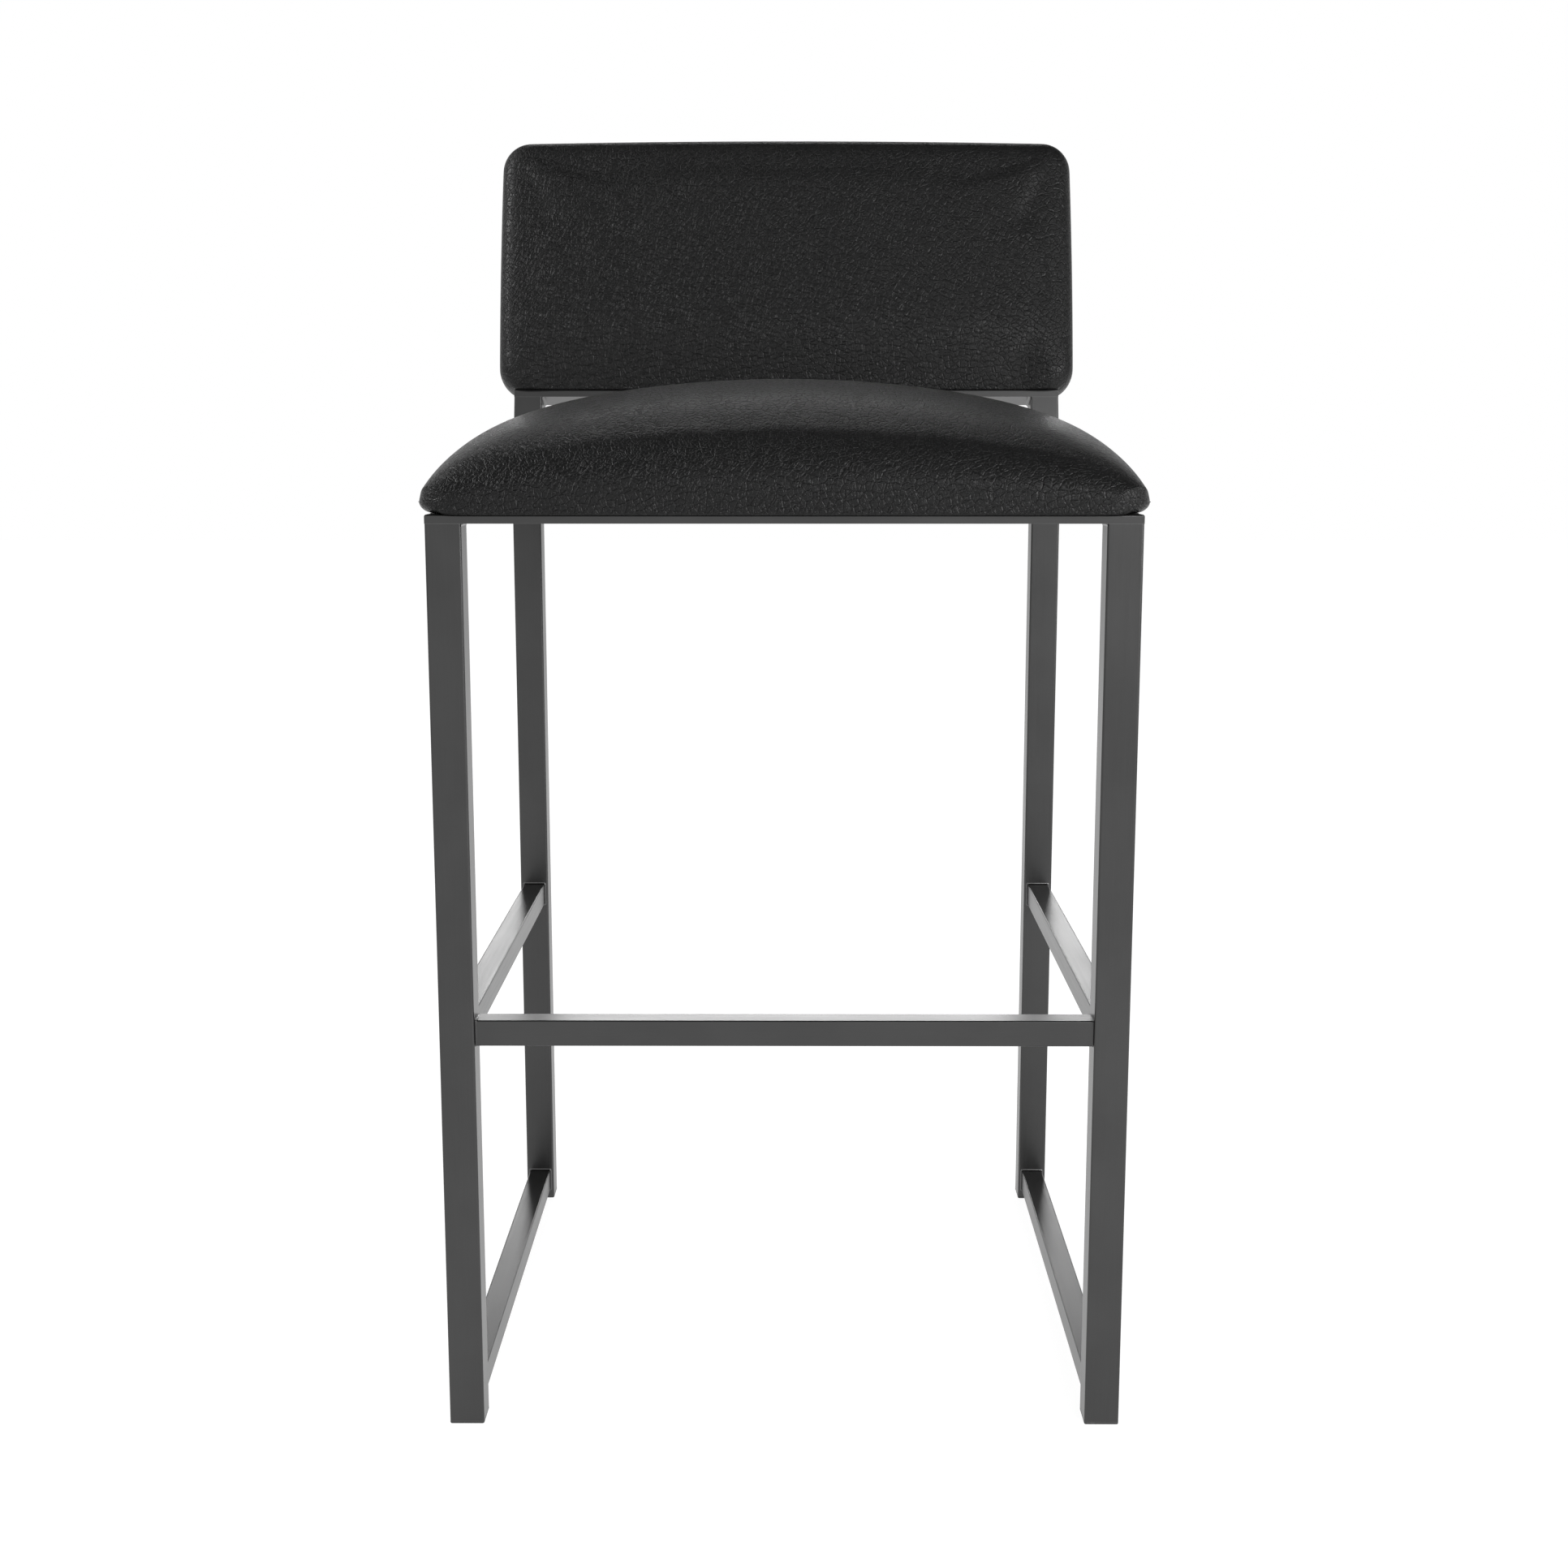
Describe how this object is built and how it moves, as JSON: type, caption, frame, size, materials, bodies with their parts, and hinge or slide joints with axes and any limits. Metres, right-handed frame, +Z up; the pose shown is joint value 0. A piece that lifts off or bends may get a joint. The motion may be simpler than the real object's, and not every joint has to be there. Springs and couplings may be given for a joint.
{
  "type": "bar stool",
  "caption": "Tall stool with a domed padded seat, a low leaning padded back, and an open square-tube frame with footrest bars and floor runners.",
  "frame": {"origin": "middle of the footprint box, on the floor", "axes": "+Z up; +Y towards the back pad; +X to the right of someone who faces the stool's front"},
  "size_m": [0.518, 0.5958, 0.9878],
  "materials": {
    "satin_steel": "dark satin brushed steel tube and flat bar, welds ground flush",
    "bare_steel": "plain steel strap, hidden in the pad",
    "zinc_steel": "bright zinc plated",
    "glide_plastic": "matte dark nylon",
    "black_leather": "pebble grained, soft sheen",
    "foam": "open cell upholstery foam",
    "plywood": "bare birch plywood",
    "dust_cloth": "black non-woven cloth"
  },
  "bodies": {
    "root": {"back_board": "plywood", "back_bolts": "zinc_steel", "back_cover_front": "black_leather", "back_cover_rear": "black_leather", "back_foam_front": "foam", "back_foam_rear": "foam", "back_strap_left": "bare_steel", "back_strap_right": "bare_steel", "back_tnuts": "zinc_steel", "back_top_bar": "satin_steel", "back_upright_left": "satin_steel", "back_upright_right": "satin_steel", "back_washers": "zinc_steel", "floor_runner_left": "satin_steel", "floor_runner_right": "satin_steel", "footrest_front_bar": "satin_steel", "footrest_side_bar_left": "satin_steel", "footrest_side_bar_right": "satin_steel", "front_leg_left": "satin_steel", "front_leg_right": "satin_steel", "front_top_bar": "satin_steel", "glide_front_left": "glide_plastic", "glide_front_right": "glide_plastic", "glide_rear_left": "glide_plastic", "glide_rear_right": "glide_plastic", "rear_leg_left": "satin_steel", "rear_leg_right": "satin_steel", "seat_board": "plywood", "seat_bolts": "zinc_steel", "seat_cover": "black_leather", "seat_dust_cloth": "dust_cloth", "seat_foam": "foam", "seat_rear_bar": "satin_steel", "seat_side_bar_left": "satin_steel", "seat_side_bar_right": "satin_steel", "seat_tabs": "satin_steel", "seat_tnuts": "zinc_steel", "seat_washers": "zinc_steel", "underside_staples": "zinc_steel"}
  },
  "joints": []
}
